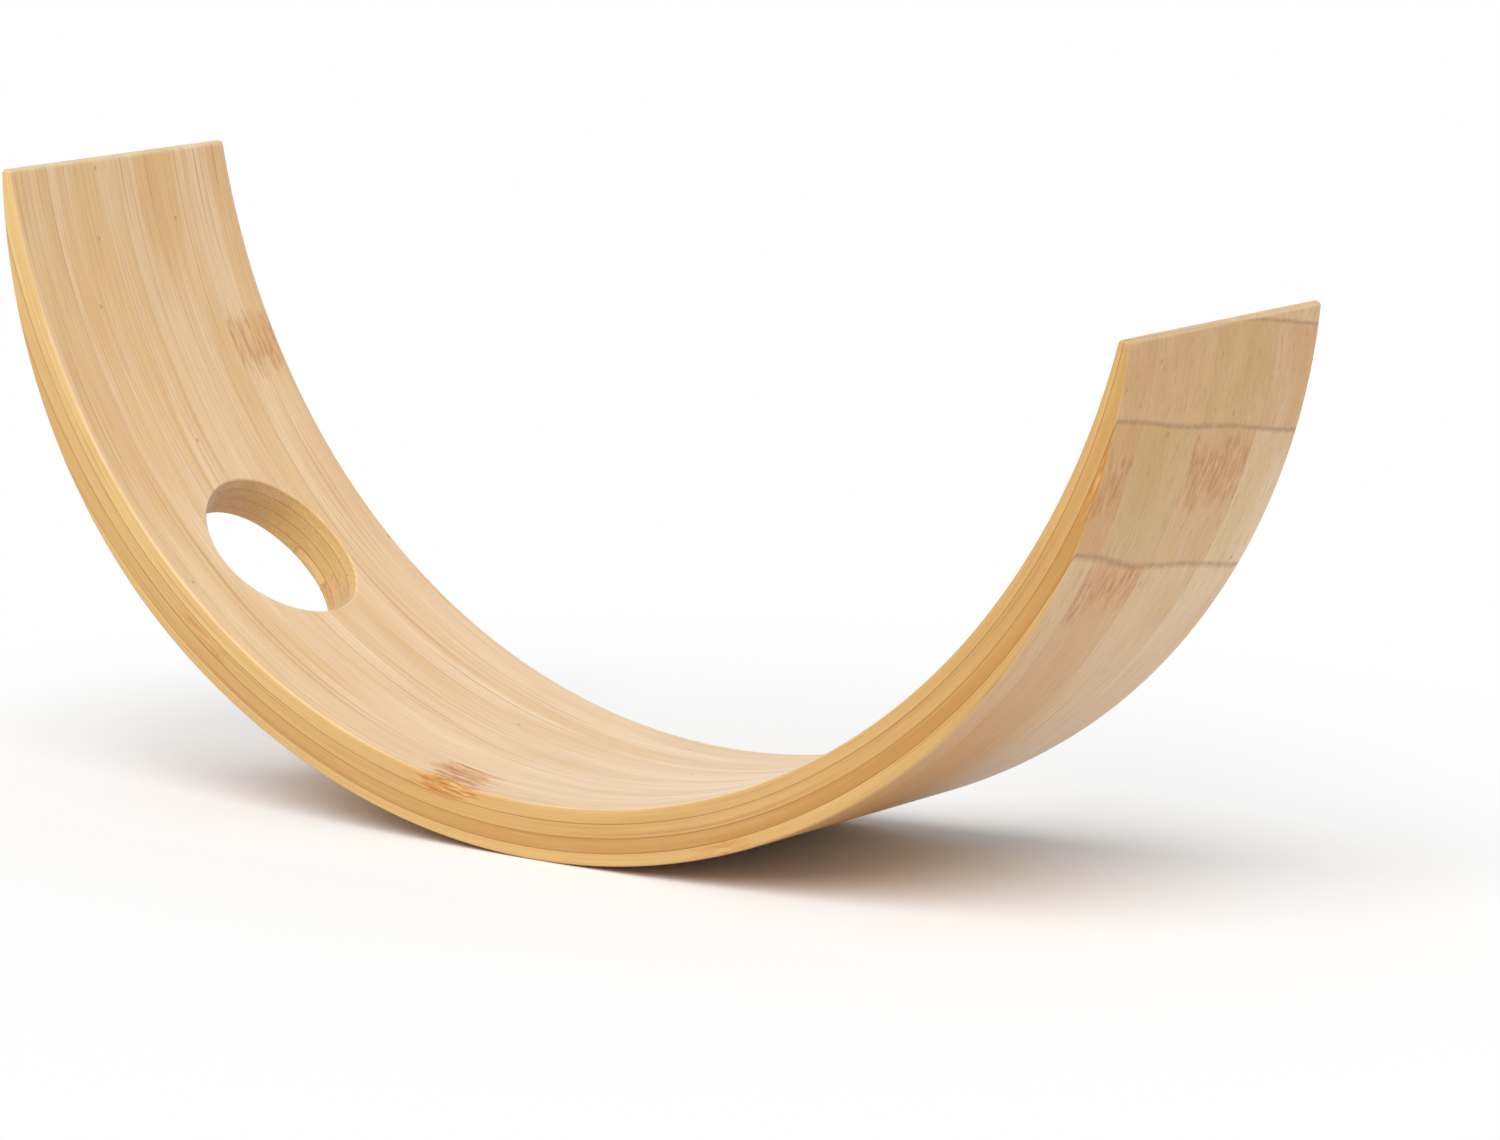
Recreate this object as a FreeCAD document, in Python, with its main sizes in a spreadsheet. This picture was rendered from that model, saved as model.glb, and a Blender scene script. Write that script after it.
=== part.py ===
"""Balancing cradle for one wine bottle, bent and glued from bamboo plies.

One curved plank stands on its rounded base. The bottle's neck goes through the hole in the
left arm and its heel leans on the right arm, so that the two balance over the base.
"""

import FreeCAD, Part
import math
import os
import Sketcher

NODE = "bottle_cradle"

# Every size of the cradle, in millimetres and degrees. The bend is symmetric about the upright
# plane, and the angles are measured at the centre of the bowl.
SIZES = {
    "cradle_width": 70.0,
    "bowl_radius": 142.0,
    "bowl_half_angle": 53.5,
    "arm_radius": 152.0,
    "arm_angle": 23.3,
    "base_thickness": 11.75,
    "base_half_angle": 35.5,
    "tip_thickness": 2.3,
    "neck_hole_radius": 18.5,
    "neck_hole_angle": 40.3,
    "edge_round": 0.8,
    "tip_round": 1.3,
    "rim_round": 0.5,
}

# The two ends of a sketch's line or arc, and an arc's centre
START = 1
END = 2
CENTRE = 3
# The sketch's own origin and its upright axis
ORIGIN = (-1, 1)
UPRIGHT = -2

# Points nearer than this, in millimetres, are one point
NEAR = 1e-4
# Directions that differ by less than this angle, in degrees, are the same
SEAM_ANGLE = 8.0
# The most of the tip's thickness that the rounding takes at its inner and at its outer corner
TIP_ROUND_SHARE = 0.6
EDGE_ROUND_SHARE = 0.35


def make_sheet(doc):
    """The spreadsheet of driving sizes, one row for each."""
    sheet = doc.addObject("Spreadsheet::Sheet", "sizes")
    for row, (name, value) in enumerate(SIZES.items(), start=1):
        sheet.set(f"A{row}", name)
        sheet.set(f"B{row}", str(value))
        sheet.setAlias(f"B{row}", name)
    doc.recompute()
    return sheet


def origin_plane(body, role):
    """One of the body's own origin planes."""
    return next(plane for plane in body.Origin.OriginFeatures if plane.Role == role)


def new_sketch(body, name, role):
    """An empty sketch on one of the body's origin planes."""
    sketch = body.newObject("Sketcher::SketchObject", name)
    sketch.AttachmentSupport = [(origin_plane(body, role), "")]
    sketch.MapMode = "FlatFace"
    return sketch


def drive(sketch, name, constraint, expression):
    """Adds a named constraint whose value follows the spreadsheet."""
    index = sketch.addConstraint(constraint)
    sketch.renameConstraint(index, name)
    sketch.setExpression(f"Constraints.{name}", expression)


def direction(degrees):
    """Unit vector from the bowl's centre, turned by this angle from straight down."""
    turn = math.radians(degrees)
    return FreeCAD.Vector(math.sin(turn), -math.cos(turn), 0)


def arc(sketch, centre, radius, low, high):
    """Arc between two angles from straight down, counted to the right."""
    circle = Part.Circle(centre, FreeCAD.Vector(0, 0, 1), radius)
    ends = [math.radians(angle - 90) for angle in (low, high)]
    return sketch.addGeometry(Part.ArcOfCircle(circle, *ends))


def draw_bend(sketch, sheet):
    """Side view of the plank: bowl and base arcs about one centre, and an arm to each side."""
    outer_radius = sheet.bowl_radius + sheet.base_thickness
    centre = FreeCAD.Vector(0, outer_radius, 0)
    bowl = arc(sketch, centre, sheet.bowl_radius, -sheet.bowl_half_angle, sheet.bowl_half_angle)
    base = arc(sketch, centre, outer_radius, -sheet.base_half_angle, sheet.base_half_angle)
    sketch.addConstraint(Sketcher.Constraint("PointOnObject", bowl, CENTRE, UPRIGHT))
    sketch.addConstraint(Sketcher.Constraint("Coincident", base, CENTRE, bowl, CENTRE))
    sketch.addConstraint(Sketcher.Constraint("Horizontal", bowl, START, bowl, END))
    sketch.addConstraint(Sketcher.Constraint("Horizontal", base, START, base, END))
    bowl_height = Sketcher.Constraint("DistanceY", *ORIGIN, bowl, CENTRE, outer_radius)
    bowl_radius = Sketcher.Constraint("Radius", bowl, sheet.bowl_radius)
    bowl_turn = Sketcher.Constraint("Angle", bowl, math.radians(2 * sheet.bowl_half_angle))
    base_radius = Sketcher.Constraint("Radius", base, outer_radius)
    base_turn = Sketcher.Constraint("Angle", base, math.radians(2 * sheet.base_half_angle))
    drive(sketch, "bowl_height", bowl_height, "sizes.bowl_radius + sizes.base_thickness")
    drive(sketch, "bowl_radius", bowl_radius, "sizes.bowl_radius")
    drive(sketch, "bowl_turn", bowl_turn, "2 * sizes.bowl_half_angle * 1 deg")
    drive(sketch, "base_radius", base_radius, "sizes.bowl_radius + sizes.base_thickness")
    drive(sketch, "base_turn", base_turn, "2 * sizes.base_half_angle * 1 deg")
    for side in ("left", "right"):
        draw_arm(sketch, sheet, side, bowl, base, centre)


def draw_arm(sketch, sheet, side, bowl, base, centre):
    """One arm: it goes on from the bowl at a larger radius, and its outside closes in on the tip."""
    sign, near, far = (1, START, END) if side == "right" else (-1, END, START)
    bowl_end = centre + direction(sign * sheet.bowl_half_angle) * sheet.bowl_radius
    arm_centre = bowl_end - direction(sign * sheet.bowl_half_angle) * sheet.arm_radius
    tip_angle = sheet.bowl_half_angle + sheet.arm_angle
    inside_angles = sorted((sign * sheet.bowl_half_angle, sign * tip_angle))
    inside = arc(sketch, arm_centre, sheet.arm_radius, *inside_angles)

    tip_out = direction(sign * tip_angle)
    tip_inner = arm_centre + tip_out * sheet.arm_radius
    tip_outer = tip_inner + tip_out * sheet.tip_thickness
    tip = sketch.addGeometry(Part.LineSegment(tip_inner, tip_outer))

    base_out = direction(sign * sheet.base_half_angle)
    base_end = centre + base_out * (sheet.bowl_radius + sheet.base_thickness)
    chord = tip_outer - base_end
    taper_radius = -chord.dot(chord) / (2 * chord.dot(base_out))
    taper_centre = base_end - base_out * taper_radius
    tip_radial = tip_outer - taper_centre
    taper_end = math.degrees(math.atan2(tip_radial.x, -tip_radial.y))
    outside = arc(sketch, taper_centre, taper_radius, *sorted((sign * sheet.base_half_angle, taper_end)))

    sketch.addConstraint(Sketcher.Constraint("Tangent", inside, near, bowl, far))
    sketch.addConstraint(Sketcher.Constraint("Perpendicular", inside, far, tip, START))
    sketch.addConstraint(Sketcher.Constraint("Tangent", outside, near, base, far))
    sketch.addConstraint(Sketcher.Constraint("Coincident", outside, far, tip, END))
    arm_radius = Sketcher.Constraint("Radius", inside, sheet.arm_radius)
    arm_turn = Sketcher.Constraint("Angle", inside, math.radians(sheet.arm_angle))
    tip_thickness = Sketcher.Constraint("Distance", tip, sheet.tip_thickness)
    drive(sketch, f"{side}_arm_radius", arm_radius, "sizes.arm_radius")
    drive(sketch, f"{side}_arm_turn", arm_turn, "sizes.arm_angle * 1 deg")
    drive(sketch, f"{side}_tip_thickness", tip_thickness, "sizes.tip_thickness")


def bend_plank(body, sheet):
    """The laminated plank, as wide everywhere, before it is bored."""
    sketch = new_sketch(body, "bend_profile", "XZ_Plane")
    draw_bend(sketch, sheet)
    plank = body.newObject("PartDesign::Pad", "plank")
    plank.Profile = sketch
    plank.Midplane = True
    plank.setExpression("Length", "sizes.cradle_width")
    return plank


def bore_neck_hole(body, sheet):
    """Round hole for the bottle's neck, bored square through the left side of the bowl."""
    sketch = new_sketch(body, "neck_circle", "XY_Plane")
    sketch.AttachmentOffset = FreeCAD.Placement(
        FreeCAD.Vector(0, 0, sheet.bowl_radius + sheet.base_thickness),
        FreeCAD.Rotation(FreeCAD.Vector(0, 1, 0), sheet.neck_hole_angle),
    )
    sketch.setExpression("AttachmentOffset.Base.z", "sizes.bowl_radius + sizes.base_thickness")
    sketch.setExpression("AttachmentOffset.Rotation.Angle", "sizes.neck_hole_angle * 1 deg")
    circle = Part.Circle(FreeCAD.Vector(0, 0, 0), FreeCAD.Vector(0, 0, 1), sheet.neck_hole_radius)
    hole = sketch.addGeometry(circle)
    sketch.addConstraint(Sketcher.Constraint("Coincident", hole, CENTRE, *ORIGIN))
    radius = Sketcher.Constraint("Radius", hole, sheet.neck_hole_radius)
    drive(sketch, "neck_hole_radius", radius, "sizes.neck_hole_radius")
    bore = body.newObject("PartDesign::Pocket", "neck_hole")
    bore.Profile = sketch
    bore.Type = "ThroughAll"
    return bore


def halfway(edge):
    """Parameter of the middle of an edge."""
    return sum(edge.ParameterRange) / 2


def same_way(one, other):
    """True for two unit vectors along the same line."""
    return abs(one.dot(other)) > math.cos(math.radians(SEAM_ANGLE))


def is_rim(edge, sheet):
    """True on the two rims of the neck hole: every point is the hole's radius off its axis."""
    centre = FreeCAD.Vector(0, 0, sheet.bowl_radius + sheet.base_thickness)
    down = direction(-sheet.neck_hole_angle)
    axis = FreeCAD.Vector(down.x, 0, down.y)
    first, last = edge.ParameterRange
    for step in range(5):
        point = edge.valueAt(first + (last - first) * step / 4) - centre
        off_axis = (point - axis * point.dot(axis)).Length
        if abs(off_axis - sheet.neck_hole_radius) > NEAR:
            return False
    return True


def is_tip_top(shape, edge):
    """True on the highest lines of the plank, where its inside meets the two tips."""
    top = max(vertex.Z for vertex in shape.Vertexes)
    return all(top - vertex.Z < NEAR for vertex in edge.Vertexes)


def is_corner(shape, edge):
    """True where two faces meet at an angle, false on the seam of two tangent faces."""
    point = edge.valueAt(halfway(edge))
    faces = shape.ancestorsOfType(edge, Part.Face)
    if len(faces) != 2:
        return False
    normals = [face.normalAt(*face.Surface.parameter(point)) for face in faces]
    return not same_way(*normals)


def is_plank_corner(shape, edge, sheet):
    """True on the plank's own corners: along its two sides and across its two tips."""
    on_side = abs(abs(edge.valueAt(halfway(edge)).y) - sheet.cradle_width / 2) < NEAR
    across = same_way(edge.tangentAt(halfway(edge)), FreeCAD.Vector(0, 1, 0))
    return (on_side or across) and is_corner(shape, edge)


def round_edges(body, name, base, radius, wanted):
    """Sands the wanted edges of the last feature round; wanted is asked of its shape and an edge."""
    shape = base.Shape
    names = [f"Edge{i}" for i, edge in enumerate(shape.Edges, start=1) if wanted(shape, edge)]
    rounding = body.newObject("PartDesign::Fillet", name)
    rounding.Base = (base, names)
    rounding.setExpression("Radius", radius)
    body.Document.recompute()
    return rounding


def exact_box(shape):
    """Tight bounding box, measured on the surfaces themselves."""
    return shape.optimalBoundingBox(False, False)


def lay_at_rest(body, sheet):
    """Rolls the cradle on its round base until its weight hangs under the base's centre."""
    centre = FreeCAD.Vector(0, 0, sheet.bowl_radius + sheet.base_thickness)
    weight = body.Shape.Solids[0].CenterOfMass - centre
    roll = math.degrees(math.atan2(weight.x, -weight.z))
    turn = FreeCAD.Rotation(FreeCAD.Vector(0, 1, 0), roll)
    body.Placement = FreeCAD.Placement(FreeCAD.Vector(0, 0, 0), turn, centre)
    shift = FreeCAD.Vector(-exact_box(body.Shape).Center.x, 0, 0)
    body.Placement = FreeCAD.Placement(shift, FreeCAD.Rotation()) * body.Placement


def make_cradle(doc, sheet):
    """The whole cradle: bent plank, neck hole, rounded edges, laid as it rests."""
    body = doc.addObject("PartDesign::Body", NODE)
    body.Label = NODE
    plank = bend_plank(body, sheet)
    doc.recompute()
    bore = bore_neck_hole(body, sheet)
    doc.recompute()
    if plank.Shape.Volume - bore.Shape.Volume < sheet.neck_hole_radius**2 * sheet.base_thickness:
        raise RuntimeError("the neck hole did not cut through the plank")

    def on_rim(shape, edge):
        return is_rim(edge, sheet)

    def on_corner(shape, edge):
        return is_plank_corner(shape, edge, sheet)

    tip_radius = f"min(sizes.tip_round; {TIP_ROUND_SHARE} * sizes.tip_thickness)"
    edge_radius = f"min(sizes.edge_round; {EDGE_ROUND_SHARE} * sizes.tip_thickness)"
    rims = round_edges(body, "rounded_rims", bore, "sizes.rim_round", on_rim)
    tips = round_edges(body, "rounded_tips", rims, tip_radius, is_tip_top)
    round_edges(body, "rounded_edges", tips, edge_radius, on_corner)
    lay_at_rest(body, sheet)
    doc.recompute()
    return body


def check(doc, bodies):
    """Stops before anything is written if a feature failed or a solid is broken."""
    for thing in doc.Objects:
        if {"Invalid", "Error"} & set(thing.State):
            raise RuntimeError(f"{thing.Label} failed: {thing.State}")
    for body in bodies:
        if body.Shape.isNull() or not body.Shape.isValid():
            raise RuntimeError(f"{body.Label} has no valid shape")


def main():
    doc = FreeCAD.newDocument("bottle_cradle_document")
    sheet = make_sheet(doc)
    bodies = [make_cradle(doc, sheet)]
    check(doc, bodies)
    os.makedirs("parts", exist_ok=True)
    for body in bodies:
        body.Shape.exportStep(os.path.join("parts", body.Label + ".step"))
        box = exact_box(body.Shape)
        print(body.Label, round(box.XLength, 2), round(box.YLength, 2), round(box.ZLength, 2))


main()
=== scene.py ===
import math

import bmesh
import bpy
import numpy as np
from mathutils import Matrix, Vector, noise


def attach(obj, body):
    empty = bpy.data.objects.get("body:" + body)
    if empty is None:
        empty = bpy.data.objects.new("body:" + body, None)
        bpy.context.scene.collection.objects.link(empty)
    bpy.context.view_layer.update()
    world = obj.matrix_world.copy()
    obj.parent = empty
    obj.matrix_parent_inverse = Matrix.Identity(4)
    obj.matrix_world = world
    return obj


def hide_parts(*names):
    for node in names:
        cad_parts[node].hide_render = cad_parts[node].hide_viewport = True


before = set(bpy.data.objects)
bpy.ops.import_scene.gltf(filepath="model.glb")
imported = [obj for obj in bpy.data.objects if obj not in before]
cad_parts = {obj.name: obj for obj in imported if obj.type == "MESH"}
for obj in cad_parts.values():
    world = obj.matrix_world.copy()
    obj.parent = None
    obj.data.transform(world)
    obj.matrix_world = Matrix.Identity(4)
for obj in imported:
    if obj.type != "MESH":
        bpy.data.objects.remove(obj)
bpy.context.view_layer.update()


# The cradle: one plank of four bamboo plies, bent over a form and glued face to face, bored
# through one arm and sanded thin towards both tips. It stands on its rounded base, as its weight
# lays it. Sizes in mm.
MM = 0.001
CRADLE_WIDTH = 70.0
BOWL_RADIUS = 142.0
BOWL_HALF_TURN = math.radians(53.5)
ARM_RADIUS = 152.0
ARM_TURN = math.radians(23.3)
BASE_THICKNESS = 11.75
BASE_HALF_TURN = math.radians(35.5)
TIP_THICKNESS = 2.3
HOLE_RADIUS = 18.5
HOLE_TURN = math.radians(40.3)
EDGE_ROUND = 0.8
TIP_ROUND = 1.3
RIM_ROUND = 0.5
# The bowl's centre, and how far the empty cradle rolls on its base to balance
BOWL_CENTRE_X = 1.1459
BOWL_CENTRE_Z = BOWL_RADIUS + BASE_THICKNESS
REST_ROLL = math.radians(2.1955)


def outward(turn):
    """Unit vector in the side view, at this angle from straight down, to the right."""
    return Vector((math.sin(turn), -math.cos(turn)))


# The side view is worked out about the bowl's centre, for the right half. The left mirrors it.
bowl_half_length = BOWL_RADIUS * BOWL_HALF_TURN
half_length = bowl_half_length + ARM_RADIUS * ARM_TURN
hole_along = -BOWL_RADIUS * HOLE_TURN
arm_centre = outward(BOWL_HALF_TURN) * (BOWL_RADIUS - ARM_RADIUS)
tip_outer = arm_centre + outward(BOWL_HALF_TURN + ARM_TURN) * (ARM_RADIUS + TIP_THICKNESS)
base_end = outward(BASE_HALF_TURN) * (BOWL_RADIUS + BASE_THICKNESS)
taper_chord = tip_outer - base_end
taper_radius = -taper_chord.length_squared / (2 * taper_chord.dot(outward(BASE_HALF_TURN)))
taper_centre = base_end - outward(BASE_HALF_TURN) * taper_radius


def inside_point(length):
    """Point on the right half's inside at this length from the middle, and the way out from it."""
    if length <= bowl_half_length:
        out = outward(length / BOWL_RADIUS)
        return out * BOWL_RADIUS, out
    out = outward(BOWL_HALF_TURN + (length - bowl_half_length) / ARM_RADIUS)
    return arm_centre + out * ARM_RADIUS, out


def thickness(along):
    """Thickness of the plank, in mm, at a length along its inside from the middle of the bowl."""
    if abs(along) <= BOWL_RADIUS * BASE_HALF_TURN:
        return BASE_THICKNESS
    start, out = inside_point(abs(along))
    from_centre = start - taper_centre
    reach = from_centre.dot(out)
    return math.sqrt(reach**2 - from_centre.length_squared + taper_radius**2) - reach


def on_cradle(along, across, depth):
    """Point in the row frame, in metres, from its place along, across and into the plank in mm."""
    start, out = inside_point(abs(along))
    x, z = start + out * depth
    x = math.copysign(x, along)
    rolled_x = x * math.cos(REST_ROLL) + z * math.sin(REST_ROLL)
    rolled_z = z * math.cos(REST_ROLL) - x * math.sin(REST_ROLL)
    return Vector((BOWL_CENTRE_X + rolled_x, across, BOWL_CENTRE_Z + rolled_z)) * MM


# The skin is a net of quads about 2 mm long. A square of the net round the hole gives way to
# rings that run from the square to the rim.
CELL = 2.0
SQUARE_CELLS = 24
RINGS = 4
RIM_TRIES = 6
square_half = CELL * SQUARE_CELLS / 2


def steps(start, end):
    """Even places about one cell apart, without the last."""
    return list(np.linspace(start, end, round((end - start) / CELL), endpoint=False))


columns = steps(-half_length, hole_along - square_half)
first_column = len(columns)
columns += steps(hole_along - square_half, hole_along + square_half)
last_column = len(columns)
columns += steps(hole_along + square_half, half_length) + [half_length]
rows = steps(-CRADLE_WIDTH / 2, -square_half)
first_row = len(rows)
rows += steps(-square_half, square_half)
last_row = len(rows)
rows += steps(square_half, CRADLE_WIDTH / 2) + [CRADLE_WIDTH / 2]

square = [(i, first_row) for i in range(first_column, last_column)]
square += [(last_column, j) for j in range(first_row, last_row)]
square += [(i, last_row) for i in range(last_column, first_column, -1)]
square += [(first_column, j) for j in range(last_row, first_row, -1)]

skin = bmesh.new()
weights = skin.edges.layers.float.new("bevel_weight_edge")


def sand_round(one, other, radius):
    """Marks the edge between two vertices to be rounded to this radius."""
    skin.edges.get((one, other))[weights] = radius / TIP_ROUND


def depth_at(along, on_outside):
    """Depth of the inside or outside face in the plank."""
    return thickness(along) if on_outside else 0.0


def rim_place(column, row, on_outside):
    """Where the hole's wall meets a face, towards a corner of the net. Each try comes nearer."""
    turn = math.atan2(rows[row], columns[column] - hole_along)
    along = hole_along
    for _ in range(RIM_TRIES):
        radius = BOWL_RADIUS + depth_at(along, on_outside)
        along = hole_along + BOWL_RADIUS * math.asin(HOLE_RADIUS * math.cos(turn) / radius)
    return along, HOLE_RADIUS * math.sin(turn)


def make_face(on_outside):
    """The inside or outside face: its net of vertices, and those on the rim of the hole."""
    net = {}
    for i, along in enumerate(columns):
        for j, across in enumerate(rows):
            if not (first_column < i < last_column and first_row < j < last_row):
                net[i, j] = skin.verts.new(on_cradle(along, across, depth_at(along, on_outside)))
    for i in range(len(columns) - 1):
        for j in range(len(rows) - 1):
            if not (first_column <= i < last_column and first_row <= j < last_row):
                skin.faces.new((net[i, j], net[i + 1, j], net[i + 1, j + 1], net[i, j + 1]))
    ring = [net[corner] for corner in square]
    for share in np.linspace(0, 1, RINGS + 1)[1:]:
        next_ring = []
        for column, row in square:
            rim_along, rim_across = rim_place(column, row, on_outside)
            along = columns[column] + (rim_along - columns[column]) * share
            across = rows[row] + (rim_across - rows[row]) * share
            next_ring.append(skin.verts.new(on_cradle(along, across, depth_at(along, on_outside))))
        for k in range(len(ring)):
            skin.faces.new((ring[k - 1], ring[k], next_ring[k], next_ring[k - 1]))
        ring = next_ring
    return net, ring


inside, inside_rim = make_face(on_outside=False)
outside, outside_rim = make_face(on_outside=True)
for j in (0, len(rows) - 1):
    for i in range(len(columns) - 1):
        skin.faces.new((inside[i, j], inside[i + 1, j], outside[i + 1, j], outside[i, j]))
        sand_round(inside[i, j], inside[i + 1, j], EDGE_ROUND)
        sand_round(outside[i, j], outside[i + 1, j], EDGE_ROUND)
for i in (0, len(columns) - 1):
    for j in range(len(rows) - 1):
        skin.faces.new((inside[i, j], inside[i, j + 1], outside[i, j + 1], outside[i, j]))
        sand_round(inside[i, j], inside[i, j + 1], TIP_ROUND)
        sand_round(outside[i, j], outside[i, j + 1], EDGE_ROUND)
    for j in (0, len(rows) - 1):
        sand_round(inside[i, j], outside[i, j], EDGE_ROUND)
for k in range(len(square)):
    skin.faces.new((inside_rim[k - 1], inside_rim[k], outside_rim[k], outside_rim[k - 1]))
    sand_round(inside_rim[k - 1], inside_rim[k], RIM_ROUND)
    sand_round(outside_rim[k - 1], outside_rim[k], RIM_ROUND)
bmesh.ops.recalc_face_normals(skin, faces=skin.faces)
for face in skin.faces:
    face.smooth = True
sharp_mesh = bpy.data.meshes.new("sharp_plank")
skin.to_mesh(sharp_mesh)
skin.free()

# The edges are rounded on a working copy, and what comes out is the cradle's own mesh.
ROUNDING_STEPS = 5
BROAD_FACE_WEIGHT = 60
sharp_plank = bpy.data.objects.new("sharp_plank", sharp_mesh)
bpy.context.scene.collection.objects.link(sharp_plank)
rounding = sharp_plank.modifiers.new("rounding", "BEVEL")
rounding.limit_method = "WEIGHT"
rounding.width = TIP_ROUND * MM
rounding.segments = ROUNDING_STEPS
rounding.use_clamp_overlap = False
even_shading = sharp_plank.modifiers.new("even_shading", "WEIGHTED_NORMAL")
even_shading.weight = BROAD_FACE_WEIGHT
evaluated = sharp_plank.evaluated_get(bpy.context.evaluated_depsgraph_get())
cradle = bpy.data.objects.new("bamboo_cradle", bpy.data.meshes.new_from_object(evaluated))
bpy.data.objects.remove(sharp_plank)
bpy.context.scene.collection.objects.link(cradle)


def place_in_plank(points):
    """Along, across and depth in mm, and the angle from straight down, for points in metres."""
    x, across, z = (points / MM - np.array([BOWL_CENTRE_X, 0.0, BOWL_CENTRE_Z])).T
    flat_x = x * math.cos(REST_ROLL) - z * math.sin(REST_ROLL)
    flat_z = x * math.sin(REST_ROLL) + z * math.cos(REST_ROLL)
    bowl_turn = np.arctan2(np.abs(flat_x), -flat_z)
    from_arm_x = np.abs(flat_x) - arm_centre.x
    from_arm_z = flat_z - arm_centre.y
    arm_turn = np.arctan2(from_arm_x, -from_arm_z)
    in_bowl = bowl_turn <= BOWL_HALF_TURN
    arm_length = bowl_half_length + ARM_RADIUS * (arm_turn - BOWL_HALF_TURN)
    along = np.sign(flat_x) * np.where(in_bowl, BOWL_RADIUS * bowl_turn, arm_length)
    bowl_depth = np.hypot(flat_x, flat_z) - BOWL_RADIUS
    depth = np.where(in_bowl, bowl_depth, np.hypot(from_arm_x, from_arm_z) - ARM_RADIUS)
    return along, across, depth, np.sign(flat_x) * np.where(in_bowl, bowl_turn, arm_turn)


def read_points(field):
    """Positions or normals of the cradle's points, one row for each."""
    values = np.empty(len(cradle.data.vertices) * 3, np.float32)
    cradle.data.vertices.foreach_get(field, values)
    return values.reshape(-1, 3).astype(float)


def keep(name, values):
    """Stores a vector for each of the cradle's points, for its material to read."""
    attribute = cradle.data.attributes.new(name, "FLOAT_VECTOR", "POINT")
    attribute.data.foreach_set("vector", np.stack(values, 1).astype(np.float32).ravel())


# Each point carries its place in the stack of plies in mm. The plies lie a little twisted in the
# plank and wander by a tenth of a millimetre, and the inside of the right tip was sanded down
# more, so the sanded tapers cut the plies in slanting waves.
PLY_TWIST = 0.00011
PLY_WANDER = 0.12
INNER_PLY_EXTRA = 0.1
WANDER_LENGTH = 45.0
WANDER_WIDTH = 22.0
TIP_SANDING = 0.018
TIP_SANDING_START = 145.0
along, across, depth, turn = place_in_plank(read_points("co"))
wander_places = zip(along / WANDER_LENGTH, across / WANDER_WIDTH)
wander = np.array([noise.noise((a, b, 0.0)) for a, b in wander_places])
sanded_off = TIP_SANDING * np.clip(along - TIP_SANDING_START, 0, None)
stack_depth = depth - INNER_PLY_EXTRA + sanded_off - PLY_TWIST * along * across - PLY_WANDER * wander
keep("plank_place", (along, across, stack_depth))

# It also carries how squarely its surface faces the fibres' ends and the plank's sides, and how
# much it belongs to a rounded edge.
normals = read_points("normal")
grain_x = np.cos(turn - REST_ROLL)
grain_z = np.sin(turn - REST_ROLL)
end_facing = np.abs(normals[:, 0] * grain_x + normals[:, 2] * grain_z)
side_facing = np.abs(normals[:, 1])
broad_facing = np.sqrt(np.clip(1 - end_facing**2 - side_facing**2, 0, 1))
rounded = 2 * (1 - end_facing**4 - side_facing**4 - broad_facing**4)
keep("facing", (end_facing, side_facing, rounded))


def linear(hex_colour):
    """Linear colour from an sRGB hex value."""
    channels = [int(hex_colour[i:i + 2], 16) / 255 for i in (1, 3, 5)]
    return (*(c / 12.92 if c <= 0.04045 else ((c + 0.055) / 1.055) ** 2.4 for c in channels), 1.0)


def add(tree, kind, *values, **named):
    """Adds a node. Lower-case names are its settings, and the rest goes to its inputs."""
    node = tree.nodes.new("ShaderNode" + kind)
    for name in [name for name in named if name.islower()]:
        setattr(node, name, named.pop(name))
    live = [socket for socket in node.inputs if socket.enabled]
    given = list(zip(live, values))
    for name, value in named.items():
        given.append((next(socket for socket in live if socket.name == name.replace("_", " ")), value))
    for socket, value in given:
        if isinstance(value, bpy.types.Node):
            value = next(output for output in value.outputs if output.enabled)
        if isinstance(value, bpy.types.NodeSocket):
            tree.links.new(value, socket)
        else:
            socket.default_value = value
    return node


# Laminated bamboo, sanded and lacquered satin. The eye sees straw-coloured strips side by side in
# each ply, fine fibres along the bend, reddish speckled joints and thin brown glue lines.
bamboo = bpy.data.materials.new("laminated_bamboo")
bamboo.use_nodes = True
tree = bamboo.node_tree
tree.nodes.clear()
place = add(tree, "Attribute", attribute_name="plank_place").outputs["Vector"]
along_mm, across_mm, deep_mm = add(tree, "SeparateXYZ", place).outputs
facing = add(tree, "Attribute", attribute_name="facing").outputs["Vector"]
to_end, to_side, on_round = add(tree, "SeparateXYZ", facing).outputs
is_side = add(tree, "MapRange", to_side, 0.55, 0.8, interpolation_type="SMOOTHSTEP")
off_side = add(tree, "Math", 1.0, is_side, operation="SUBTRACT")

# Four plies, 3 mm thick, counted from the inside, and how far the nearest glue line is
PLY = 3.0
PLIES = 4
ply_count = add(tree, "Math", deep_mm, PLY, operation="DIVIDE")
ply_floor = add(tree, "Math", ply_count, operation="FLOOR")
ply = add(tree, "Clamp", ply_floor, 0.0, PLIES - 1.0)
glue_near = add(tree, "Math", ply_count, operation="ROUND")
glue_number = add(tree, "Clamp", glue_near, 1.0, PLIES - 1.0)
from_glue = add(tree, "Math", ply_count, glue_number, operation="SUBTRACT")
glue_away = add(tree, "Math", from_glue, operation="ABSOLUTE")

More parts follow.
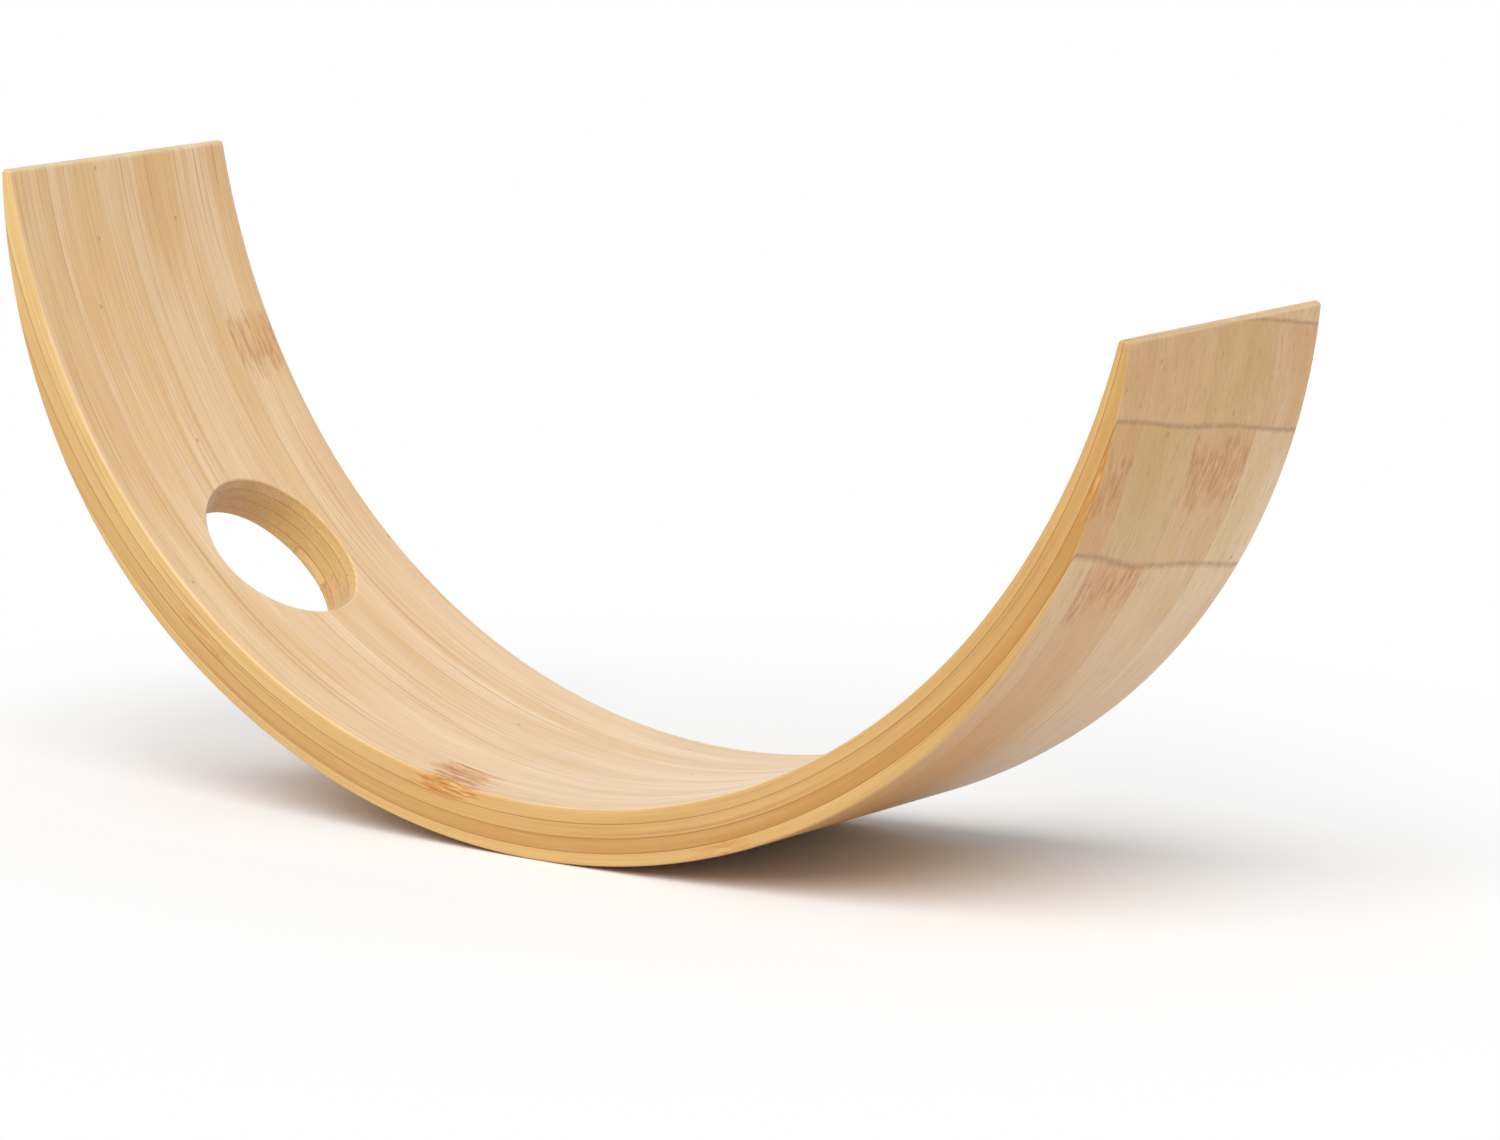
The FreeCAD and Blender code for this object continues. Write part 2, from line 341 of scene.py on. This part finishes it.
# Strips 22 mm wide, edge to edge, four to a ply. Each ply's lie a little to one side of those in
# the ply inside it.
STRIP = 22.0
STRIPS_IN_PLY = 4
STRIP_START = 45.5
STRIP_SHIFT = 0.9
shifted = add(tree, "Math", ply, STRIP_SHIFT, across_mm, operation="MULTIPLY_ADD")
from_start = add(tree, "Math", shifted, STRIP_START, operation="ADD")
strip_count = add(tree, "Math", from_start, STRIP, operation="DIVIDE")
strip_floor = add(tree, "Math", strip_count, operation="FLOOR")
strip_near = add(tree, "Math", strip_count, operation="ROUND")
from_seam = add(tree, "Math", strip_count, strip_near, operation="SUBTRACT")
seam_away = add(tree, "Math", from_seam, operation="ABSOLUTE")
strip = add(tree, "Math", ply, STRIPS_IN_PLY, strip_floor, operation="MULTIPLY_ADD")

# Ply by ply from the inside, and strip by strip from the near side: where a joint of the cane
# lies along the strip in mm, how plain it is to see, how dark the strip is, and how rosy, the
# last three from 0 to 1. The joints of one strip would be 400 mm apart, so each shows one.
STRIPS = [
    (-18, 1.0, 0.35, 0.4), (80, 0.3, 0.2, 0.7), (92, 0.4, 0.25, 0.6), (-149, 0.5, 0.2, 0.7),
    (-84, 0.35, 0.55, 0.8), (60, 0.4, 0.55, 0.6), (-30, 0.4, 0.6, 0.1), (20, 0.4, 0.5, 0.8),
    (166, 0.5, 0.85, 0.8), (-60, 0.3, 0.7, 0.0), (164, 0.6, 0.6, 0.6), (48, 0.4, 0.0, 0.4),
    (50, 0.3, 0.3, 0.3), (143, 0.55, 0.6, 0.9), (-95, 0.5, 0.35, 0.5), (10, 0.4, 0.15, 0.8),
]
JOINT_SPACING = 400.0
strip_middle = add(tree, "Math", strip, 0.5, operation="ADD")
strip_share = add(tree, "Math", strip_middle, len(STRIPS), operation="DIVIDE")
strip_facts = add(tree, "ValToRGB", strip_share)
strip_facts.color_ramp.interpolation = "CONSTANT"
stops = strip_facts.color_ramp.elements
while len(stops) < len(STRIPS):
    stops.new(1.0)
for number, (joint, plainness, darkness, rosiness) in enumerate(STRIPS):
    stops[number].position = number / len(STRIPS)
    stops[number].color = (joint % JOINT_SPACING / JOINT_SPACING, darkness, rosiness, plainness)
joint_share, strip_darkness, strip_rosiness = add(tree, "SeparateColor", strip_facts).outputs
joint_plainness = strip_facts.outputs["Alpha"]

# Fibres run along the bend, a little off it here and there, and differ from strip to strip.
STRIP_APART = 400.0
DRIFT = 2.5
DRIFT_LENGTH = 90.0
DRIFT_WIDTH = 25.0
fibre_along = add(tree, "Math", strip, STRIP_APART, along_mm, operation="MULTIPLY_ADD")
drift_steps = (1 / DRIFT_LENGTH, 1 / DRIFT_WIDTH, 1 / DRIFT_WIDTH)
drift_place = add(tree, "VectorMath", place, drift_steps, operation="MULTIPLY")
drift = add(tree, "TexNoise", drift_place, Scale=1.0, Detail=1.0)
drifted = add(tree, "Math", drift, DRIFT, across_mm, operation="MULTIPLY_ADD")
fibre_place = add(tree, "CombineXYZ", fibre_along, drifted, deep_mm)


def fibres(length, width, depth, detail):
    """Three separate grain patterns of fibres of this size in mm, each as shares from 0 to 1."""
    grain_steps = (1 / length, 1 / width, 1 / depth)
    grain_place = add(tree, "VectorMath", fibre_place, grain_steps, operation="MULTIPLY")
    grain = add(tree, "TexNoise", grain_place, Scale=1.0, Detail=detail, Roughness=0.55)
    return add(tree, "SeparateColor", grain.outputs["Color"]).outputs


# The finest are drawn 0.5 mm wide, because the real 0.2 mm ones are too fine for the render.
fine, thread, gloss = fibres(18, 0.5, 0.4, 3.0)
vessel, hairline, _ = fibres(85, 0.6, 0.5, 1.0)
streak, blush, dent = fibres(45, 1.2, 0.7, 2.0)
band, cloud, broad = fibres(70, 7, 3, 1.5)

# The joints of the cane: patches of redder wood with short wavy dashes in them. A patch's ragged
# ends pull in by up to 16 mm, and fade over 5 mm. Dashes and tatters are sized in mm.
DASH_LENGTH, DASH_WIDTH, DASH_DEPTH = 5.5, 0.9, 0.55
TATTER_LENGTH, TATTER_WIDTH, TATTER_DEPTH = 7.0, 2.4, 1.2
JOINT_RAGGED = 16.0
JOINT_FADE_START = 11.5
JOINT_FADE_END = 16.5
joint_back = add(tree, "Math", joint_share, -1.0, operation="MULTIPLY")
joint_turn = add(tree, "Math", along_mm, 1 / JOINT_SPACING, joint_back, operation="MULTIPLY_ADD")
joint_wrap = add(tree, "Math", joint_turn, 0.5, -0.5, operation="WRAP")
joint_off = add(tree, "Math", joint_wrap, operation="ABSOLUTE")
joint_mm = add(tree, "Math", joint_off, JOINT_SPACING, operation="MULTIPLY")
dash_steps = (1 / DASH_LENGTH, 1 / DASH_WIDTH, 1 / DASH_DEPTH)
dash_place = add(tree, "VectorMath", fibre_place, dash_steps, operation="MULTIPLY")
dash_noise = add(tree, "TexNoise", dash_place, Scale=1.0, Detail=1.0, Distortion=0.5)
dash, _, _ = add(tree, "SeparateColor", dash_noise.outputs["Color"]).outputs
dark_dash = add(tree, "MapRange", dash, 0.52, 0.62, interpolation_type="SMOOTHSTEP")
pale_dash = add(tree, "MapRange", dash, 0.46, 0.34, interpolation_type="SMOOTHSTEP")
tatter_steps = (1 / TATTER_LENGTH, 1 / TATTER_WIDTH, 1 / TATTER_DEPTH)
tatter_place = add(tree, "VectorMath", fibre_place, tatter_steps, operation="MULTIPLY")
tatter = add(tree, "TexNoise", tatter_place, Scale=1.0, Detail=2.0)
ragged_mm = add(tree, "Math", tatter, JOINT_RAGGED, joint_mm, operation="MULTIPLY_ADD")
joint_patch = add(
    tree, "MapRange", ragged_mm, JOINT_FADE_START, JOINT_FADE_END, 1.0, 0.0,
    interpolation_type="SMOOTHSTEP",
)
joint_seen = add(tree, "Math", joint_patch, joint_plainness, operation="MULTIPLY")

# Each strip has its own tone, and varies in bands and streaks. The outer plies' broad faces vary
# least.
STRAW = linear("#F2D5AC")
OLIVE = linear("#D0A65C")
ROSY = linear("#D89E61")
OCHRE = linear("#DCAE66")
band_swing = add(tree, "Math", band, 0.5, operation="SUBTRACT")
streak_swing = add(tree, "Math", streak, 0.5, operation="SUBTRACT")
broad_swing = add(tree, "Math", broad, 0.5, operation="SUBTRACT")
small_swing = add(tree, "Math", streak_swing, 0.3, broad_swing, operation="MULTIPLY_ADD")
swing = add(tree, "Math", band_swing, 0.7, small_swing, operation="MULTIPLY_ADD")
swing_strength = add(tree, "MapRange", ply, 0.0, PLIES - 1.0, 0.75, 0.3)
blush_swing = add(tree, "Math", blush, 0.5, operation="SUBTRACT")
hue = add(tree, "Math", blush_swing, 0.9, strip_rosiness, operation="MULTIPLY_ADD", use_clamp=True)
dark_tone = add(tree, "Mix", hue, OLIVE, ROSY, data_type="RGBA")

# The wood darkens towards the right tip.
tip_ripening = add(tree, "MapRange", along_mm, 120.0, 190.0, 0.0, 0.3)
broad_darkness = add(tree, "Math", strip_darkness, tip_ripening, operation="ADD")
darkness = add(
    tree, "Math", swing, swing_strength, broad_darkness, operation="MULTIPLY_ADD", use_clamp=True,
)
broad_colour = add(tree, "Mix", darkness, STRAW, dark_tone, data_type="RGBA")
ochre_share = add(tree, "MapRange", cloud, 0.45, 0.68, 0.0, 0.5, interpolation_type="SMOOTHSTEP")
broad_colour = add(tree, "Mix", ochre_share, broad_colour, OCHRE, data_type="RGBA")

# The outer ply is painted darker and more golden towards the base, and most at its near side. This is
# mostly painted shade and warm reflected light from the shadowed floor under the arms, with some
# warmer wood.
PAINTED_SHADE_GOLD = linear("#B97C2E")
OUTER_PLY_START = 2.5
from_base = add(tree, "Math", along_mm, operation="ABSOLUTE")
near_base = add(tree, "MapRange", from_base, 70.0, 155.0, 0.9, 0.0)
near_side = add(tree, "MapRange", across_mm, -35.0, 10.0, 1.0, 0.2)
outer_ply = add(tree, "Math", ply, OUTER_PLY_START, operation="GREATER_THAN")
painted_shade_share = add(tree, "Math", near_base, near_side, operation="MULTIPLY")
painted_shade_share = add(tree, "Math", painted_shade_share, outer_ply, operation="MULTIPLY")
# Painted shade: darker golden underside near the base, strongest at the near side
broad_colour = add(tree, "Mix", painted_shade_share, broad_colour, PAINTED_SHADE_GOLD, data_type="RGBA")

# The sides show the strips' edges. They are painted paler towards the left, as a sheen of reflected
# light, and darker to the right, and the plies differ least at the left tip.
SIDE_PALE = linear("#E3BD79")
SIDE_DEEP = linear("#BC873A")
# Painted sheen and shade: sides paler towards the left tip, darker towards the right
side_sheen_drift = add(tree, "MapRange", along_mm, -200.0, 200.0, -0.12, 0.22)
side_contrast = add(tree, "MapRange", along_mm, -200.0, 0.0, 0.5, 1.0)
side_darkness = add(
    tree, "Math", strip_darkness, side_contrast, side_sheen_drift, operation="MULTIPLY_ADD",
)
side_share = add(tree, "Math", swing, 0.7, side_darkness, operation="MULTIPLY_ADD", use_clamp=True)
side_colour = add(tree, "Mix", side_share, SIDE_PALE, SIDE_DEEP, data_type="RGBA")
wood = add(tree, "Mix", is_side, broad_colour, side_colour, data_type="RGBA")

# Fine brown fibres, with pale threads and sparse dark vessels and hairlines among them
FIBRE_BROWN = linear("#B98A50")
THREAD_PALE = linear("#F6E4C2")
VESSEL_BROWN = linear("#B5732E")
HAIRLINE_BROWN = linear("#A5672A")
fine_share = add(tree, "MapRange", fine, 0.4, 0.75, 0.0, 0.3)
wood = add(tree, "Mix", fine_share, wood, FIBRE_BROWN, data_type="RGBA")
thread_share = add(tree, "MapRange", thread, 0.58, 0.75, 0.0, 0.12, interpolation_type="SMOOTHSTEP")
wood = add(tree, "Mix", thread_share, wood, THREAD_PALE, data_type="RGBA")
vessel_share = add(tree, "MapRange", vessel, 0.61, 0.72, 0.0, 0.36, interpolation_type="SMOOTHSTEP")
wood = add(tree, "Mix", vessel_share, wood, VESSEL_BROWN, data_type="RGBA")
hairline_share = add(
    tree, "MapRange", hairline, 0.67, 0.78, 0.0, 0.5, interpolation_type="SMOOTHSTEP",
)
wood = add(tree, "Mix", hairline_share, wood, HAIRLINE_BROWN, data_type="RGBA")

# A few dark specks, about a millimetre across, lie on the broad faces. Their places are this far
# apart in mm, and about one in five of them holds a speck.
SPECK_BROWN = linear("#944E16")
SPECK_PLACES_ALONG = 16.0
SPECK_PLACES_ACROSS = 11.0
SPECK_CHANCE_START = 0.82
speck_steps = (1 / SPECK_PLACES_ALONG, 1 / SPECK_PLACES_ACROSS, 0.0)
speck_place = add(tree, "VectorMath", place, speck_steps, operation="MULTIPLY")
speck_cell = add(tree, "TexVoronoi", speck_place, voronoi_dimensions="2D", Scale=1.0)
speck_chance, _, _ = add(tree, "SeparateColor", speck_cell.outputs["Color"]).outputs
speck_here = add(tree, "Math", speck_chance, SPECK_CHANCE_START, operation="GREATER_THAN")
speck_spot = add(tree, "MapRange", speck_cell.outputs["Distance"], 0.015, 0.045, 0.5, 0.0)
speck = add(tree, "Math", speck_spot, speck_here, operation="MULTIPLY")
speck_share = add(tree, "Math", speck, off_side, operation="MULTIPLY")
wood = add(tree, "Mix", speck_share, wood, SPECK_BROWN, data_type="RGBA")

# The joints' patch, with pale and dark dashes in it
JOINT_OCHRE = linear("#C8822A")
DASH_PALE = linear("#F4CC8C")
DASH_BROWN = linear("#A65A08")
patch_share = add(tree, "Math", joint_seen, 0.75, operation="MULTIPLY")
wood = add(tree, "Mix", patch_share, wood, JOINT_OCHRE, data_type="RGBA")
pale_seen = add(tree, "Math", joint_seen, pale_dash, operation="MULTIPLY")
pale_share = add(tree, "Math", pale_seen, 0.55, operation="MULTIPLY")
wood = add(tree, "Mix", pale_share, wood, DASH_PALE, data_type="RGBA")
dark_seen = add(tree, "Math", joint_seen, dark_dash, operation="MULTIPLY")
dark_share = add(tree, "Math", dark_seen, 0.72, operation="MULTIPLY")
wood = add(tree, "Mix", dark_share, wood, DASH_BROWN, data_type="RGBA")

# Seams between strips are faint. Glue lines are plainest and widest on the sides. Widths in mm.
SEAM_BROWN = linear("#9A6E3A")
GLUE_BROWN = linear("#94602A")
SEAM_FADE_START = 0.05
SEAM_FADE_END = 0.2
GLUE_ON_FACE = 0.11
GLUE_ON_SIDE = 0.17
seam_share = add(
    tree, "MapRange", seam_away, SEAM_FADE_START / STRIP, SEAM_FADE_END / STRIP, 0.25, 0.0,
    interpolation_type="SMOOTHSTEP",
)
wood = add(tree, "Mix", seam_share, wood, SEAM_BROWN, data_type="RGBA")
glue_width = add(tree, "MapRange", to_side, 0.0, 1.0, GLUE_ON_FACE / PLY, GLUE_ON_SIDE / PLY)
glue_line = add(
    tree, "MapRange", glue_away, 0.0, glue_width, 1.0, 0.0, interpolation_type="SMOOTHSTEP",
)
glue_depth = add(tree, "MapRange", blush, 0.35, 0.65, 0.3, 0.65)
glue_strength = add(tree, "Math", to_side, 0.3, glue_depth, operation="MULTIPLY_ADD", use_clamp=True)
glue_share = add(tree, "Math", glue_line, glue_strength, operation="MULTIPLY")
wood = add(tree, "Mix", glue_share, wood, GLUE_BROWN, data_type="RGBA")

# Ends of fibres drink more lacquer and look darker. Rounded edges carry a painted highlight, a little
# paler, and those of the sides least.
END_BROWN = linear("#B0824A")
PAINTED_EDGE_HIGHLIGHT = linear("#F6E6C4")
end_share = add(tree, "MapRange", to_end, 0.5, 1.0, 0.0, 0.3, interpolation_type="SMOOTHSTEP")
wood = add(tree, "Mix", end_share, wood, END_BROWN, data_type="RGBA")
# Painted highlight along the rounded edges
edge_highlight_strength = add(tree, "MapRange", to_side, 0.0, 0.5, 0.3, 0.0)
edge_highlight_share = add(tree, "Math", on_round, edge_highlight_strength, operation="MULTIPLY")
wood = add(tree, "Mix", edge_highlight_share, wood, PAINTED_EDGE_HIGHLIGHT, data_type="RGBA")

# Fibres and joints stand a little proud under the lacquer, glue lines lie lower, and the sanding
# leaves long shallow dents. Depths in mm.
GRAIN_DEPTH = 0.025
DENT_DEPTH = 0.12
LACQUER_IOR = 1.5
roughness = add(tree, "MapRange", gloss, 0.3, 0.7, 0.38, 0.52)
joint_height = add(tree, "Math", dash, joint_seen, operation="MULTIPLY")
grain_height = add(tree, "Math", fine, joint_height, operation="ADD")
height = add(tree, "Math", glue_share, -0.8, grain_height, operation="MULTIPLY_ADD")
grain_bump = add(tree, "Bump", Strength=1.0, Distance=GRAIN_DEPTH * MM, Height=height)
dent_bump = add(tree, "Bump", Strength=1.0, Distance=DENT_DEPTH * MM, Height=dent, Normal=grain_bump)
surface = add(
    tree, "BsdfPrincipled", Base_Color=wood, Roughness=roughness, IOR=LACQUER_IOR, Normal=dent_bump,
    Coat_Weight=0.35, Coat_Roughness=0.25, Coat_IOR=LACQUER_IOR,
)
add(tree, "OutputMaterial", surface)
cradle.data.materials.clear()
cradle.data.materials.append(bamboo)
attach(cradle, "root")
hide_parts("bottle_cradle")


# The floor: a plain table top in matt white paint, which shows the cradle's shadow and no gloss.
# Away from the cradle it fades into the white behind it, and in mirrored rays further out, so
# that the cradle's underside stays dark. Sizes in metres.
FLOOR_RADIUS = 3.0
FADE_START = 0.05
FADE_END = 0.26
MIRROR_FADE_END = 0.7
PAINT = linear("#FCFCFC")
WHITE = linear("#FFFFFF")
floor_mesh = bpy.data.meshes.new("floor")
floor_net = bmesh.new()
bmesh.ops.create_circle(floor_net, cap_ends=True, segments=96, radius=FLOOR_RADIUS)
floor_net.to_mesh(floor_mesh)
floor_net.free()
floor = bpy.data.objects.new("floor", floor_mesh)
bpy.context.scene.collection.objects.link(floor)

white_top = bpy.data.materials.new("white_painted_top")
white_top.use_nodes = True
tree = white_top.node_tree
tree.nodes.clear()
paint = add(tree, "BsdfDiffuse", PAINT)
blank = add(tree, "Emission", WHITE, 1.0)
rays = add(tree, "LightPath").outputs
mirrored = add(tree, "Math", rays["Is Glossy Ray"], rays["Is Transmission Ray"], operation="MAXIMUM")
spot = add(tree, "NewGeometry").outputs["Position"]
away = add(tree, "VectorMath", spot, operation="LENGTH").outputs["Value"]
fade = add(tree, "MapRange", away, FADE_START, FADE_END, interpolation_type="SMOOTHSTEP")
mirror_fade = add(tree, "MapRange", away, FADE_END, MIRROR_FADE_END, interpolation_type="SMOOTHSTEP")
blank_seen = add(tree, "Math", fade, rays["Is Camera Ray"], operation="MULTIPLY")
blank_mirrored = add(tree, "Math", mirror_fade, mirrored, operation="MULTIPLY")
blank_share = add(tree, "Math", blank_seen, blank_mirrored, operation="MAXIMUM")
add(tree, "OutputMaterial", add(tree, "MixShader", blank_share, paint, blank))
floor_mesh.materials.append(white_top)


# The light: a white room, and one wide soft lamp high in front of the cradle and a little to its
# right. Together they light an upward face about as brightly as its colour is written.
ROOM_LIGHT = 0.36
LAMP_SIZE = 4.0
LAMP_POWER = 143.0
LAMP_PLACE = Vector((0.7, -2.3, 3.0))
LAMP_AIM = Vector((0.0, 0.0, 0.05))
world = bpy.data.worlds.new("white_room")
world.use_nodes = True
bpy.context.scene.world = world
tree = world.node_tree
tree.nodes.clear()
rays = add(tree, "LightPath").outputs
seen = add(tree, "Math", rays["Is Camera Ray"], rays["Is Glossy Ray"], operation="MAXIMUM")
seen = add(tree, "Math", seen, rays["Is Transmission Ray"], operation="MAXIMUM")
strength = add(tree, "MapRange", seen, 0.0, 1.0, ROOM_LIGHT, 1.0)
add(tree, "OutputWorld", add(tree, "Background", WHITE, strength))

lamp_data = bpy.data.lights.new("wide_lamp", "AREA")
lamp_data.shape = "DISK"
lamp_data.size = LAMP_SIZE
lamp_data.energy = LAMP_POWER
lamp = bpy.data.objects.new("wide_lamp", lamp_data)
lamp.location = LAMP_PLACE
lamp.rotation_mode = "QUATERNION"
lamp.rotation_quaternion = (LAMP_AIM - LAMP_PLACE).to_track_quat("-Z", "Y")
bpy.context.scene.collection.objects.link(lamp)


# The camera stands as the photograph's did. The photographed cradle rolls 0.49 degrees further
# than this one, so the camera turns back by that about the bowl's centre.
CAMERA_PLACE = Vector((0.84638, -1.12274, 0.29954))
CAMERA_AIM = Vector((0.02970, 0.0, 0.06095))
PHOTO_ROLL = math.radians(2.682)
IMAGE_WIDTH = 1500
IMAGE_HEIGHT = 1140
FOCAL_PIXELS = 6944.8
OPTICAL_X = 755.45
OPTICAL_Y = 555.41
SENSOR_WIDTH = 36.0
camera_data = bpy.data.cameras.new("camera")
camera_data.sensor_width = SENSOR_WIDTH
camera_data.lens = FOCAL_PIXELS / IMAGE_WIDTH * SENSOR_WIDTH
camera_data.shift_x = (IMAGE_WIDTH / 2 - OPTICAL_X) / IMAGE_WIDTH
camera_data.shift_y = (OPTICAL_Y - IMAGE_HEIGHT / 2) / IMAGE_WIDTH
camera_data.clip_end = 20.0
camera = bpy.data.objects.new("camera", camera_data)
bowl_centre = Vector((BOWL_CENTRE_X, 0.0, BOWL_CENTRE_Z)) * MM
towards_aim = (CAMERA_AIM - CAMERA_PLACE).to_track_quat("-Z", "Y").to_matrix().to_4x4()
standing = Matrix.Translation(CAMERA_PLACE) @ towards_aim
turn_back = Matrix.Rotation(REST_ROLL - PHOTO_ROLL, 4, "Y")
about_centre = Matrix.Translation(bowl_centre) @ turn_back @ Matrix.Translation(-bowl_centre)
camera.matrix_world = about_centre @ standing
bpy.context.scene.collection.objects.link(camera)
bpy.context.scene.camera = camera
bpy.context.scene.view_settings.view_transform = "Standard"
